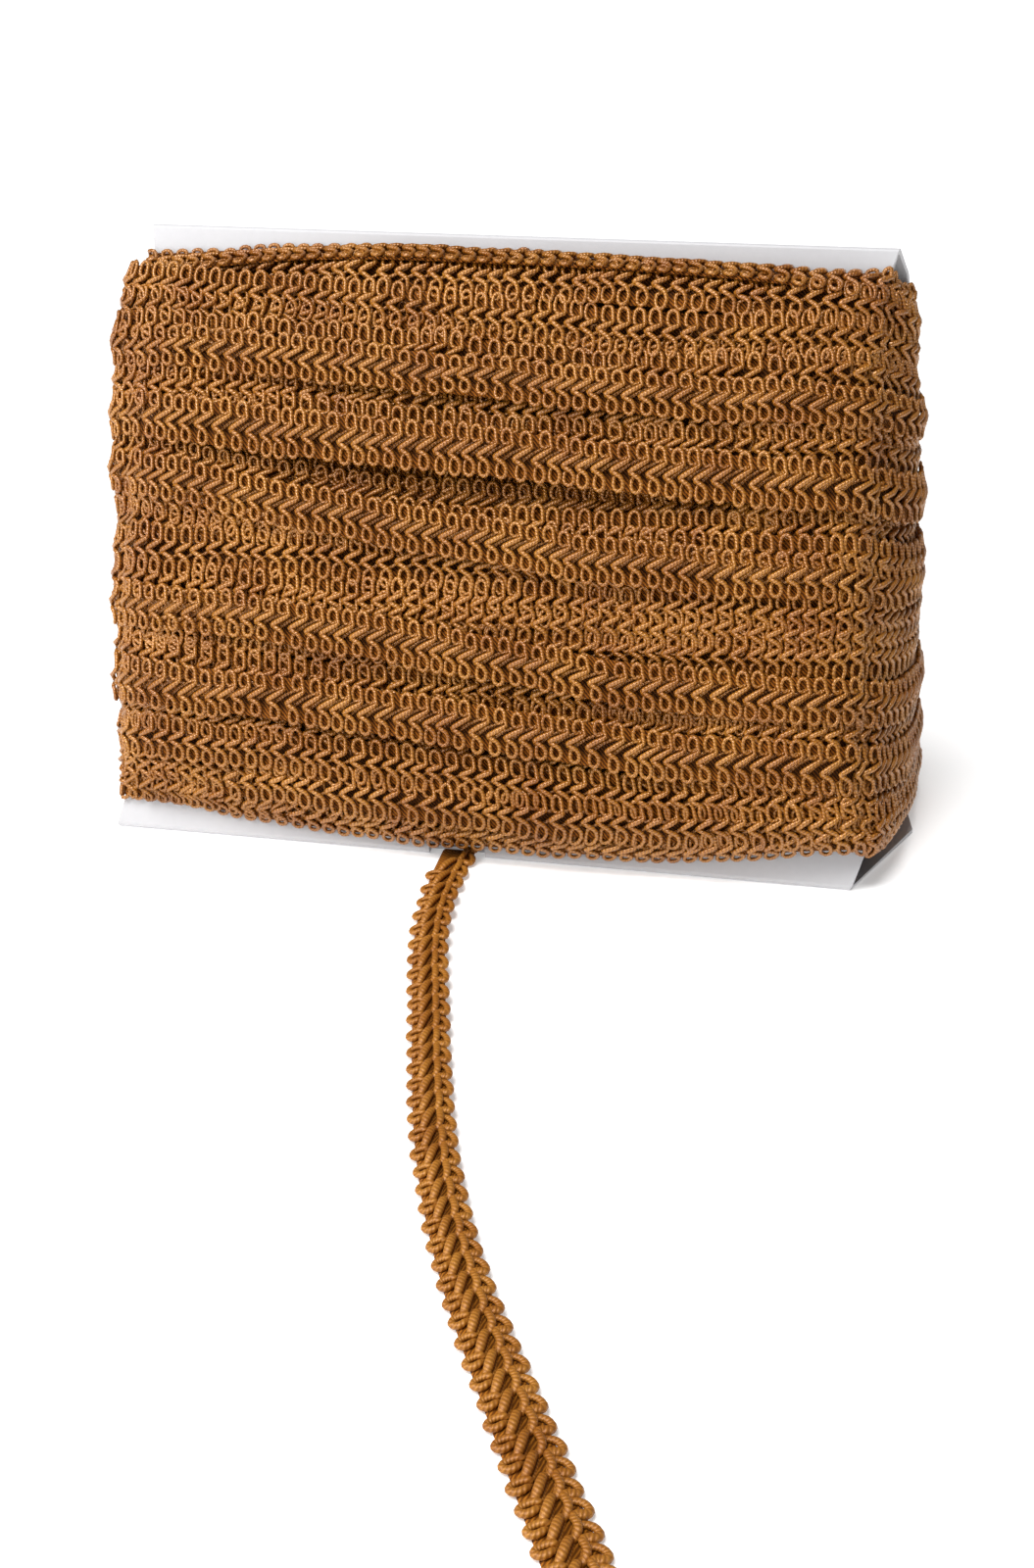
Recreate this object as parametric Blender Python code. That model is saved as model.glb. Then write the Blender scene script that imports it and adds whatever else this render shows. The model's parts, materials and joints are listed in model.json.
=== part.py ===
"""Gimp braid trim wound round a folded card sleeve, with the trim's loose end lying in front of it.

The sleeve stands on its base. Its front wall leans back, its back wall is upright, and its two ends are
open. The trim goes round and round both walls in a pillow of slanting turns. Its loose end comes out
through a notch in the sleeve's front fold and lies on the floor.

X runs along the sleeve to the right, Y to the back and Z up. The origin is on the floor, under the
middle of the sleeve's base. All sizes are in metres.
"""

import math

import bmesh
import bpy
import numpy as np

for old in list(bpy.data.objects):
    bpy.data.objects.remove(old, do_unlink=True)

# The card sleeve
CARD_LENGTH = 0.1778
CARD_WALL = 0.0010
FACE_HEIGHT = 0.1473  # front wall, measured along its slope
LEAN = math.radians(21.3)  # front wall, back from the vertical
BASE_DEPTH = 0.0610
SHOULDER_HEIGHT = 0.1300  # where the back wall ends and the short slope to the top crease starts
FRONT_FOLD_RADIUS = 0.0011
CREASE_RADIUS = 0.0009
SHOULDER_RADIUS = 0.0040
BACK_FOLD_RADIUS = 0.0030
BACK_SHIFT = 0.0106  # the back wall stands this far to the right of the front one at the floor
BACK_SHIFT_SLOPE = 0.062  # and that much less for each unit of height
BASE_TIP_DEPTH = 0.0341  # the base's right edge is widest here
BASE_TIP_OUT = 0.0143
CARD_COLUMNS = 7
FOLD_STEPS = 4

# The front wall's two ends, flared where no trim presses them: height along the wall, left end, right end
FRONT_ENDS = (
    (0.0000, -0.0896, 0.0889),
    (0.0090, -0.0874, 0.0921),
    (0.0250, -0.0880, 0.0892),
    (0.1250, -0.0880, 0.0872),
    (0.1390, -0.0878, 0.0866),
    (FACE_HEIGHT, -0.0889, 0.0889),
)

# The notch in the front fold and base
NOTCH_X = -0.0037
NOTCH_WIDTH = 0.0136
NOTCH_HEIGHT = 0.0027
NOTCH_DEPTH = 0.0038

# The winding
CLEARANCE = 0.00035  # between the sleeve and the trim on it
EDGE_LAYER = 0.0021  # one layer of trim, at the winding's top and bottom edges
FRONT_BULGE = 0.0140  # most thickness of trim in the middle of the front
BACK_BULGE = 0.0125
RIGHT_CORNER = (0.0064, 0.0036)  # thickness at the right end: low down, high up
LEFT_CORNER = (0.0014, 0.0100)
PILLOW_POWER = 2.6
END_PILLOW_POWER = 3.2
FACE_POWER = 2.4
TURN_HALF_WIDTH = 0.0048
RIB_HEIGHT = 0.0009
FALL = (0.0070, 0.0046)  # how far a turn falls from the front to the back: low down, high up
FALL_POWER = 3.0  # at the right end, most of that fall is next to the front wall

# The main turns, from the top one down: height along the front wall at the left end, middle and right end
TURNS = (
    (0.1362, 0.1377, 0.1354),
    (0.1285, 0.1270, 0.1250),
    (0.1190, 0.1162, 0.1128),
    (0.1090, 0.1055, 0.1015),
    (0.0992, 0.0950, 0.0908),
    (0.0888, 0.0845, 0.0803),
    (0.0780, 0.0740, 0.0702),
    (0.0673, 0.0633, 0.0603),
    (0.0565, 0.0528, 0.0505),
    (0.0460, 0.0422, 0.0412),
    (0.0352, 0.0315, 0.0324),
    (0.0244, 0.0205, 0.0240),
    (0.0130, 0.0078, 0.0146),
)
# A turn's profile from its middle to the next one's: share of the way, share of the rib's height
RIB_PROFILE = ((0.00, 1.0), (0.27, 0.6), (0.50, -1.0), (0.73, 0.6))
FRONT_STATIONS = 22
BACK_STATIONS = 16
END_STATIONS = 4
CORNER_STATIONS = 3
INNER_SHARES = (1.0, 0.865, 0.6, 0.35, 0.115, 0.05, 0.0)  # of the way from the bottom edge to the top

# The loose end
TRIM_THICKNESS = 0.0020
TRIM_LIFT = 0.00005
TRIM_SIDES = 8
TRIM_STEP = 0.0048
# Its route on the floor: right, back, height of its underside, width, roll in degrees (right edge up)
TRIM_ROUTE = (
    (-0.0036, -0.0276, 0.0000, 0.0103, 0.0),
    (-0.0036, -0.0330, 0.0000, 0.0102, 0.0),
    (-0.0036, -0.0400, 0.0000, 0.0099, 2.0),
    (-0.0029, -0.0530, 0.0000, 0.0096, 8.0),
    (-0.0012, -0.0680, 0.0000, 0.0094, 12.0),
    (0.0020, -0.0840, 0.0000, 0.0094, 12.0),
    (0.0064, -0.1020, 0.0000, 0.0093, 10.0),
    (0.0113, -0.1220, 0.0000, 0.0093, 9.0),
    (0.0169, -0.1430, 0.0000, 0.0094, 8.0),
    (0.0238, -0.1640, 0.0000, 0.0094, 7.0),
    (0.0325, -0.1850, 0.0000, 0.0098, 5.0),
    (0.0429, -0.2060, 0.0000, 0.0106, 3.0),
    (0.0521, -0.2240, 0.0000, 0.0112, 1.0),
    (0.0604, -0.2405, 0.0000, 0.0117, 0.0),
    (0.0692, -0.2590, 0.0000, 0.0120, 0.0),
)

# Colours, as linear values, with roughness
CARD_LOOK = ((0.84, 0.83, 0.82, 1.0), 0.45)
TRIM_LOOK = ((0.36, 0.13, 0.03, 1.0), 0.50)

FRONT_Y = -BASE_DEPTH / 2
BACK_Y = BASE_DEPTH / 2


def material(name, look):
    """A plain Principled material of one colour."""
    made = bpy.data.materials.new(name)
    made.use_nodes = True
    shader = made.node_tree.nodes["Principled BSDF"]
    shader.inputs["Base Color"].default_value = look[0]
    shader.inputs["Roughness"].default_value = look[1]
    shader.inputs["Metallic"].default_value = 0.0
    return made


def add_mesh(name, points, faces, look):
    """A named object from its points and faces, with its faces turned out."""
    shape = bmesh.new()
    corners = [shape.verts.new(tuple(p)) for p in points]
    for face in faces:
        shape.faces.new([corners[i] for i in face])
    bmesh.ops.recalc_face_normals(shape, faces=shape.faces)
    mesh = bpy.data.meshes.new(name)
    shape.to_mesh(mesh)
    shape.free()
    made = bpy.data.objects.new(name, mesh)
    made.data.materials.append(look)
    bpy.context.collection.objects.link(made)
    return made


def closed_grid(rings):
    """Faces that join rings of equal length into one torus, the last ring to the first."""
    count = len(rings[0])
    faces = []
    for a in range(len(rings)):
        b = (a + 1) % len(rings)
        for i in range(count):
            j = (i + 1) % count
            faces.append((a * count + i, a * count + j, b * count + j, b * count + i))
    return [p for ring in rings for p in ring], faces


def moved_corners(corners, inset):
    """The corners of a clockwise polygon whose sides are moved inwards by inset."""
    points = [np.array(c) for c in corners]
    count = len(points)
    sides = []
    for i in range(count):
        along = points[(i + 1) % count] - points[i]
        along = along / np.linalg.norm(along)
        inwards = np.array([along[1], -along[0]])
        sides.append((points[i] + inwards * inset, along))
    moved = []
    for i in range(count):
        (p, u), (q, v) = sides[i - 1], sides[i]
        share = np.linalg.solve(np.array([u, -v]).T, q - p)[0]
        moved.append(p + u * share)
    return moved


def rounded(corners, radii, steps):
    """Points round a polygon whose corners are turned into arcs: (point, the side it belongs to)."""
    points = []
    count = len(corners)
    for i in range(count):
        corner = corners[i]
        before = corners[i - 1] - corner
        after = corners[(i + 1) % count] - corner
        before = before / np.linalg.norm(before)
        after = after / np.linalg.norm(after)
        half = math.acos(float(np.clip(before @ after, -1, 1))) / 2
        reach = radii[i] / math.tan(half)
        middle = before + after
        centre = corner + middle / np.linalg.norm(middle) * radii[i] / math.sin(half)
        start = corner + before * reach - centre
        stop = corner + after * reach - centre
        sweep = math.acos(float(np.clip(start @ stop / radii[i] ** 2, -1, 1)))
        for k in range(steps + 1):
            share = k / steps
            a = math.sin((1 - share) * sweep) / math.sin(sweep)
            b = math.sin(share * sweep) / math.sin(sweep)
            points.append(centre + start * a + stop * b)
    return points


def between(value, rows, column):
    """A column of a table, read at value in its first column."""
    return float(np.interp(value, [r[0] for r in rows], [r[column] for r in rows]))


def back_shift(height):
    """How far right of the front wall the back wall stands."""
    return BACK_SHIFT - BACK_SHIFT_SLOPE * height


def card_ends(y, z):
    """Where the sleeve's left and right ends lie, at a point of its section."""
    depth = y - FRONT_Y
    front_depth = z * math.tan(LEAN)
    whole = BASE_DEPTH - front_depth
    share = min(max((depth - front_depth) / whole, 0.0), 1.0) if whole > 0 else 1.0
    height = z / math.cos(LEAN)
    front = (between(height, FRONT_ENDS, 1), between(height, FRONT_ENDS, 2))
    half = CARD_LENGTH / 2
    back = (-half + back_shift(z), half + back_shift(z))
    left = front[0] + (back[0] - front[0]) * share
    right = front[1] + (back[1] - front[1]) * share
    if z < 2 * CARD_WALL:
        tip = half + BASE_TIP_OUT
        right = float(np.interp(depth, (0.0, BASE_TIP_DEPTH, BASE_DEPTH), (front[1], tip, back[1])))
    return left, right


def side_cuts(start, stop):
    """Where a side of the section is cut: at the heights of FRONT_ENDS, or at the base's widest depth."""
    if np.linalg.norm(stop - start) < 0.03:
        return ()
    if abs(stop[1] - start[1]) < 0.001:
        reads = [(FRONT_Y + BASE_TIP_DEPTH - start[0]) / (stop[0] - start[0])]
    else:
        heights = [row[0] * math.cos(LEAN) for row in FRONT_ENDS]
        reads = [(height - start[1]) / (stop[1] - start[1]) for height in heights]
    return sorted(share for share in reads if 0.01 < share < 0.99)


def make_card(look):
    """The sleeve: one thin wall folded round a leaning section, open at both ends."""
    corners = (
        (FRONT_Y, 0.0),
        (FRONT_Y + FACE_HEIGHT * math.sin(LEAN), FACE_HEIGHT * math.cos(LEAN)),
        (BACK_Y, SHOULDER_HEIGHT),
        (BACK_Y, 0.0),
    )
    radii = (FRONT_FOLD_RADIUS, CREASE_RADIUS, SHOULDER_RADIUS, BACK_FOLD_RADIUS)
    outer = rounded(moved_corners(corners, 0.0), radii, FOLD_STEPS)
    cuts_at = {i: side_cuts(point, outer[(i + 1) % len(outer)]) for i, point in enumerate(outer)}
    loops = []
    for inset in (0.0, CARD_WALL):
        moved = moved_corners(corners, inset)
        loop = rounded(moved, [max(r - inset, 0.0003) for r in radii], FOLD_STEPS)
        full = []
        for i, point in enumerate(loop):
            after = loop[(i + 1) % len(loop)]
            full.append(point)
            full += [point + (after - point) * cut for cut in cuts_at.get(i, ())]
        loops.append(full)
    columns = [column / (CARD_COLUMNS - 1) for column in range(CARD_COLUMNS)]
    rings = []
    for loop, shares in ((loops[0], columns), (loops[1], columns[::-1])):
        for share in shares:
            ring = []
            for y, z in loop:
                left, right = card_ends(y, z)
                ring.append((left + (right - left) * share, y, z))
            rings.append(ring)
    card = add_mesh("card", *closed_grid(rings), look)
    cut_notch(card)
    return card


def cut_notch(card):
    """Cuts the notch through the front fold, with a cutter that isn't part of the model."""
    half = NOTCH_WIDTH / 2
    low = (NOTCH_X - half, FRONT_Y - 0.004, -0.002)
    high = (NOTCH_X + half, FRONT_Y + NOTCH_DEPTH, NOTCH_HEIGHT)
    points = [(x, y, z) for x in (low[0], high[0]) for y in (low[1], high[1]) for z in (low[2], high[2])]
    faces = ((0, 1, 3, 2), (4, 6, 7, 5), (0, 4, 5, 1), (2, 3, 7, 6), (0, 2, 6, 4), (1, 5, 7, 3))
    cutter = add_mesh("notch_cutter", points, faces, card.data.materials[0])
    cutter.hide_render = True
    cutter.display_type = "WIRE"
    notch = card.modifiers.new("notch", "BOOLEAN")
    notch.object = cutter
    notch.operation = "DIFFERENCE"


def eased_fall(share):
    """How much of its fall a turn has made, at a share of the way from the front wall to the back one."""
    return 1 - (1 - share) ** FALL_POWER


def turn_z(index, station):
    """How high a turn lies above the floor, at a station of its way round."""
    left, middle, right = (height * math.cos(LEAN) for height in TURNS[index])
    level = 1 - index / (len(TURNS) - 1)
    back = right - (FALL[0] + (FALL[1] - FALL[0]) * level)
    side, share, _ = station
    if side == "front":
        across = 2 * share - 1
        return middle + (right - left) / 2 * across + ((right + left) / 2 - middle) * across**2
    if side == "right":
        return right + (back - right) * eased_fall(share)
    if side == "back":
        return back
    return back + (left - back) * share


def stations():
    """The way round the sleeve: (side, share of that side, share of the corner after it)."""
    way = []
    for side, count in (("front", FRONT_STATIONS), ("right", END_STATIONS),
                        ("back", BACK_STATIONS), ("left", END_STATIONS)):
        way += [(side, i / count, 0.0) for i in range(count + 1)]
        way += [(side, 1.0, (i + 1) / (CORNER_STATIONS + 1)) for i in range(CORNER_STATIONS)]
    return way


def posts(z):
    """The sleeve's four upright corners at a height above the floor, from the front left round."""
    y = FRONT_Y + z * math.tan(LEAN)
    height = z / math.cos(LEAN)
    half = CARD_LENGTH / 2
    return (
        np.array((between(height, FRONT_ENDS, 1), y, z)),
        np.array((between(height, FRONT_ENDS, 2), y, z)),
        np.array((half + back_shift(z), BACK_Y, z)),
        np.array((-half + back_shift(z), BACK_Y, z)),
    )


def outward(side, corners):
    """The direction that faces away from the sleeve on one of its sides."""
    if side == "front":
        return np.array((0.0, -math.cos(LEAN), math.sin(LEAN)))
    if side == "back":
        return np.array((0.0, 1.0, 0.0))
    start, stop = (corners[1], corners[2]) if side == "right" else (corners[3], corners[0])
    along = (stop - start) / np.linalg.norm(stop - start)
    return np.array((along[1], -along[0], 0.0))


SIDES = ("front", "right", "back", "left")


def place(station, z, thickness):
    """A point at a height above the floor, with a thickness of trim between it and the sleeve."""
    side, share, turned = station
    k = SIDES.index(side)
    corners = posts(z)
    start, stop = corners[k], corners[(k + 1) % 4]
    here = outward(side, corners)
    after = outward(SIDES[(k + 1) % 4], corners)
    angle = math.acos(float(np.clip(here @ after, -1, 1)))
    a = math.sin((1 - turned) * angle) / math.sin(angle)
    b = math.sin(turned * angle) / math.sin(angle)
    return start + (stop - start) * share + (here * a + after * b) * thickness


def thickness(station, level):
    """Thickness of the trim at a station, and at a level from 0 at its bottom edge to 1 at its top."""
    side, share, _ = station
    left = LEFT_CORNER[0] + (LEFT_CORNER[1] - LEFT_CORNER[0]) * level
    right = RIGHT_CORNER[0] + (RIGHT_CORNER[1] - RIGHT_CORNER[0]) * level
    if side in ("front", "back"):
        bulge = FRONT_BULGE if side == "front" else BACK_BULGE
        right_share = share if side == "front" else 1 - share
        corner = left + (right - left) * right_share
        flat = 1 - abs(2 * share - 1) ** FACE_POWER
        full = corner + (bulge - corner) * flat
        power = END_PILLOW_POWER + (PILLOW_POWER - END_PILLOW_POWER) * flat
    else:
        full = right if side == "right" else left
        power = END_PILLOW_POWER
    pillow = (1 - abs(2 * level - 1) ** power) ** (1 / power)
    return EDGE_LAYER + (full - EDGE_LAYER) * pillow


def winding_rows(station):
    """(height above the floor, rib height) of each row of points at a station, from the bottom up."""
    heights = [turn_z(index, station) for index in reversed(range(len(TURNS)))]
    rows = [(heights[0] - TURN_HALF_WIDTH, -0.6)]
    rows.append((heights[0] - TURN_HALF_WIDTH * 0.55, 0.5))
    for low, high in zip(heights, heights[1:]):
        rows += [(low + (high - low) * share, rib) for share, rib in RIB_PROFILE]
    rows.append((heights[-1], 1.0))
    rows.append((heights[-1] + TURN_HALF_WIDTH * 0.55, 0.5))
    rows.append((heights[-1] + TURN_HALF_WIDTH, -0.6))
    return rows


def make_winding(look):
    """The wound trim: one closed ring round the sleeve, ridged by its main turns."""
    way = stations()
    rows_at = [winding_rows(station) for station in way]
    rings = []
    for row in range(len(rows_at[0])):
        ring = []
        for station, rows in zip(way, rows_at, strict=True):
            height, rib = rows[row]
            level = (height - rows[0][0]) / (rows[-1][0] - rows[0][0])
            full = thickness(station, level) + RIB_HEIGHT * rib
            ring.append(place(station, height, full))
        rings.append(ring)
    for share in INNER_SHARES:
        ring = []
        for station, rows in zip(way, rows_at, strict=True):
            height = rows[0][0] + (rows[-1][0] - rows[0][0]) * share
            ring.append(place(station, height, CLEARANCE))
        rings.append(ring)
    return add_mesh("winding", *closed_grid(rings), look)


def smooth_route(route, step):
    """Rows read every step along a smooth curve through the route's rows."""
    rows = np.array(route)
    padded = np.vstack([2 * rows[0] - rows[1], rows, 2 * rows[-1] - rows[-2]])
    fine = []
    for i in range(len(rows) - 1):
        p0, p1, p2, p3 = padded[i : i + 4]
        for k in range(16):
            t = k / 16
            fine.append(
                0.5 * (2 * p1 + (p2 - p0) * t + (2 * p0 - 5 * p1 + 4 * p2 - p3) * t**2
                       + (3 * p1 - p0 - 3 * p2 + p3) * t**3)
            )
    fine.append(rows[-1])
    fine = np.array(fine)
    run = np.concatenate([[0], np.cumsum(np.linalg.norm(np.diff(fine[:, :3], axis=0), axis=1))])
    count = max(2, round(run[-1] / step)) + 1
    reads = np.linspace(0, run[-1], count)
    return np.array([[np.interp(r, run, fine[:, c]) for c in range(fine.shape[1])] for r in reads])


def make_loose_end(look):
    """The trim's free end: one flat strip along its route, capped at both ends."""
    rows = smooth_route(TRIM_ROUTE, TRIM_STEP)
    middles = rows[:, :3].copy()
    half_thick = TRIM_THICKNESS / 2
    rolls = np.radians(rows[:, 4])
    halves = rows[:, 3] / 2
    middles[:, 2] += TRIM_LIFT + np.hypot(halves * np.sin(rolls), half_thick * np.cos(rolls))
    points = []
    for i, middle in enumerate(middles):
        along = middles[min(i + 1, len(middles) - 1)] - middles[max(i - 1, 0)]
        along = along / np.linalg.norm(along)
        # the route comes towards the viewer, so its right-hand side is up crossed with its direction
        side = np.cross((0.0, 0.0, 1.0), along)
        side = side / np.linalg.norm(side)
        up = np.cross(along, side)
        right = side * math.cos(rolls[i]) + up * math.sin(rolls[i])
        top = np.cross(along, right)
        for k in range(TRIM_SIDES):
            angle = 2 * math.pi * (k + 0.5) / TRIM_SIDES
            stretch = math.cos(angle) / math.cos(math.pi / TRIM_SIDES)
            points.append(middle + right * halves[i] * stretch + top * half_thick * math.sin(angle))
    faces = []
    for i in range(len(middles) - 1):
        for k in range(TRIM_SIDES):
            n = (k + 1) % TRIM_SIDES
            a, b = i * TRIM_SIDES, (i + 1) * TRIM_SIDES
            faces.append((a + k, a + n, b + n, b + k))
    faces.append(tuple(range(TRIM_SIDES)))
    last = (len(middles) - 1) * TRIM_SIDES
    faces.append(tuple(last + k for k in range(TRIM_SIDES)))
    return add_mesh("loose_end", points, faces, look)


card_look = material("white_card", CARD_LOOK)
trim_look = material("gimp_trim", TRIM_LOOK)
make_card(card_look)
for wound in (make_winding(trim_look), make_loose_end(trim_look)):
    wound.data.shade_smooth()
    wound.data.set_sharp_from_angle(angle=math.radians(50))
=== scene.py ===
"""The looks of a gimp braid trim wound on a folded card sleeve, with its loose end lying in front.

X runs along the sleeve to the right, Y to the back and Z up, in metres, as in the CAD model. Every turn of
trim is modelled as what it is: one thick gimp cord that loops up, crosses to the middle, and loops down.
"""

import json
import math

import bmesh
import bpy
import numpy as np
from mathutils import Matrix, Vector

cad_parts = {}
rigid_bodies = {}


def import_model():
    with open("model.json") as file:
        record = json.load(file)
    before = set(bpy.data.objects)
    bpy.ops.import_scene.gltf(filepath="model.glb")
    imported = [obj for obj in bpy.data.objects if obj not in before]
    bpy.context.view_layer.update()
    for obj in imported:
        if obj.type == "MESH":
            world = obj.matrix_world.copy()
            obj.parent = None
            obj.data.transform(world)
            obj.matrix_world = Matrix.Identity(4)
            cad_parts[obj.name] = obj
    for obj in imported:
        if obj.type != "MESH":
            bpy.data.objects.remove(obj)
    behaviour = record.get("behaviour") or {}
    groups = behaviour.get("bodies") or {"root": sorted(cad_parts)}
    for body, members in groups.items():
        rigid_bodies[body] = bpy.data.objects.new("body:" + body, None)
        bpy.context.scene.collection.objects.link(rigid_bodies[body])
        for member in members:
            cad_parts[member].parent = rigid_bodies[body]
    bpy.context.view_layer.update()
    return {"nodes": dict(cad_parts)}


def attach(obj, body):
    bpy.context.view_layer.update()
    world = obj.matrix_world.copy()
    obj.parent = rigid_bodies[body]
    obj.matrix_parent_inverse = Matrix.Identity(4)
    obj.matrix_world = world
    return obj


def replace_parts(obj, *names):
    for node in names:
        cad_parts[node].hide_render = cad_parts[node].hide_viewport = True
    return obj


for old in list(bpy.data.objects):
    bpy.data.objects.remove(old, do_unlink=True)

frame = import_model()

MM = 0.001

# The card sleeve, as the CAD model has it
LEAN = math.radians(21.3)  # how far its front wall leans back
BASE_DEPTH = 0.0610
HALF_LENGTH = 0.0889
BACK_SHIFT = 0.0106  # how far its back is shifted to the right at the floor
BACK_SHIFT_SLOPE = 0.062  # and how much less for each metre up
# Where its front wall ends: distance up the wall, left end, right end
FRONT_ENDS = np.array((
    (0.0000, -0.0896, 0.0889),
    (0.0090, -0.0874, 0.0921),
    (0.0250, -0.0880, 0.0892),
    (0.1250, -0.0880, 0.0872),
    (0.1390, -0.0878, 0.0866),
    (0.1473, -0.0889, 0.0889),
))
FRONT_Y = -BASE_DEPTH / 2
BACK_Y = BASE_DEPTH / 2

# A way round the sleeve has eight steps: each side is an even one, and the corner after it an odd one
FRONT, RIGHT, BACK, LEFT = 0, 2, 4, 6
# Places worked out in each of the eight steps, for a turn and for the core
TURN_PLACES = (200, 16, 50, 16, 160, 16, 50, 16)
CORE_PLACES = (40, 5, 8, 5, 40, 5, 8, 5)

# The pillow of trim on the sleeve, nearly as the CAD model has it
EDGE_LAYER = 0.0021  # its thickness along its top and bottom edges
EDGE_THIN = 0.0002  # its thickness where those edges turn in to the wall
FRONT_BULGE = 0.0140
BACK_BULGE = 0.0125
RIGHT_CORNER = (0.0050, 0.0026)  # its thickness at the right and left corners: at the bottom, at the top
LEFT_CORNER = (0.0022, 0.0108)
END_BULGE = 0.0030  # how much thicker it is in the middle of an end
PILLOW_POWER = 2.6  # how square its section is, in the middle and at the ends
END_PILLOW_POWER = 3.2
FACE_POWER = 8.0  # how level it stays along the front and back, and how it rounds off to the corners
FACE_ROUND = 2.0
FALL = (0.0060, 0.0046)  # how much lower it lies at the back: its bottom edge, its top edge
FALL_POWER = 2.0  # how early along the right end it falls
PILLOW_LOW = (0.0073, 0.0026, 0.0090)  # its bottom edge above the floor: left, middle, right
PILLOW_HIGH = (0.1317, 0.1330, 0.1310)  # and its top edge
PILLOW_LEVELS = 60  # steps up its section in which its surface is measured
HALF_SPAN = 8  # mm to either side of a turn's middle that the pillow is worked out for
WALL_CLEAR = 0.0008  # least distance from the sleeve's wall to a cord's middle
FLOOR_CLEAR = 0.0007
TURN_BEND = math.radians(56.0)  # how far the edges of a turn may lean back from the wall
PRESSED = 0.3  # mm between rows across a turn, under which they count as pressed together
TOP_LEAN = math.radians(68.0)  # how far the uppermost turn lies back over the pillow's top edge
TOP_UPRIGHT = (0.45, 0.9)  # how far it stands up again at its left and right ends, from 0 to 1
UPRIGHT_POWER = 6  # how close to those ends it does so
BACK_SINK = -0.0016  # the furthest that a turn's left end sinks into the pillow at the back
SINK = 0.0010  # the middle of a turn's cord lies this far under the pillow's surface

# The core in the pillow, a dark sheet of painted shade that shows between the turns
CORE_EDGE = 0.0022  # how far it ends from the pillow's top and bottom edges
CORE_DEPTH = 0.0064  # how far it lies under the pillow's surface
CORE_CLEAR = 0.0006  # least distance from the sleeve's wall to its outer face
CORE_INSIDE = 0.0004  # distance from the wall to its inner face
CORE_ROWS = 30  # rows of its outer face and of its inner face
CORE_INNER_ROWS = 3

# The braid, wound and loose
BRAID_WIDTH = 12.0  # mm, like all lengths here that don't say otherwise
WOUND_PITCH = 3.8  # from one repeat of its cord to the next
LOOSE_PITCH = 5.2
CORD_RADIUS = 0.545
LOOSE_RADIUS = 0.65  # where the cord is no longer pulled tight
LOOSE_ROUGH = 0.25  # how uneven the loose end's loops are beside those on the winding
LOOSE_FLAT = 0.75  # height of its cord, which lies flattened on the floor, as a share of its width
LOOSE_PROUD = 0.70  # how far its cord stands out, as a share of what its table says
LOOSE_STRETCH = 0.30  # how much longer its repeats are at its start, and how much shorter at its far end
LOOSE_START = 0.1  # share of a repeat that is left out at its start
LOOSE_EXTRA = 0.7  # its length is divided into this many more parts than it has repeats
LOOSE_SPAN = 10.7  # from the cord's middle in one outer loop to that in the other, before it is scaled
LOOSE_LIFT = 0.8  # height of its middle above the floor
LOOSE_CUT = (0.0002, 0.0006)  # metres from its start and from its far end where its cord stops
LOOSE_CLEAR = 0.00005  # metres between its cord and the floor
BEND_WEIGHT = 2.0  # length of cord that one radian of bend counts for, when its points are spread
# How uneven the cord is: from one repeat to the next, and in slow waves with these numbers to a run
SWAY_ROUNDS = (5, 8, 13, 19)
ALONG_WANDER, ALONG_SWAY = 0.045, 0.10  # shares of the pitch
WIDTH_WANDER, WIDTH_SWAY = 0.05, 0.02  # shares of the width
ACROSS_WANDER, ACROSS_SWAY = 0.15, 0.17
OUT_WANDER, OUT_SWAY = 0.10, 0.10
# The first turn's seed, that of the first turn under them, and the loose end's
WOUND_SEED, UNDER_SEED, LOOSE_SEED = 100, 200, 5
# The ribbon of inner threads: across the braid and out of it, at its edges and folds
WOUND_RIBBON = ((-4.9, -0.70), (-3.9, -0.30), (-1.5, -0.80), (1.5, -0.80), (3.9, -0.30), (4.9, -0.70))
LOOSE_RIBBON = ((-4.6, -0.55), (-3.9, -0.15), (-1.5, -0.15), (1.5, -0.15), (3.9, -0.15), (4.6, -0.55))
GROUND_STEP = 2.8  # between the rows of the wound ribbon
# Points to a repeat of cord, in front and at the back, and points round the cord
WOUND_POINTS = (33, 15, 5)
UNDER_POINTS = (20, 11, 4)
LOOSE_POINTS = 60
LOOSE_SIDES = 8
REPEAT_STEPS = 8  # steps from one row of a repeat to the next, and from one row of the route to the next
ROUTE_STEPS = 16
LOOSE_ROWS = 400  # rows that the loose end's route is read at
TURNS_IN_A_PIECE = 4
# Where the tables of turns hold their heights, lifts, width and evenness
HEIGHTS, LIFTS, WIDTH, EVEN = slice(0, 5), slice(5, 8), 8, 9

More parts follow.
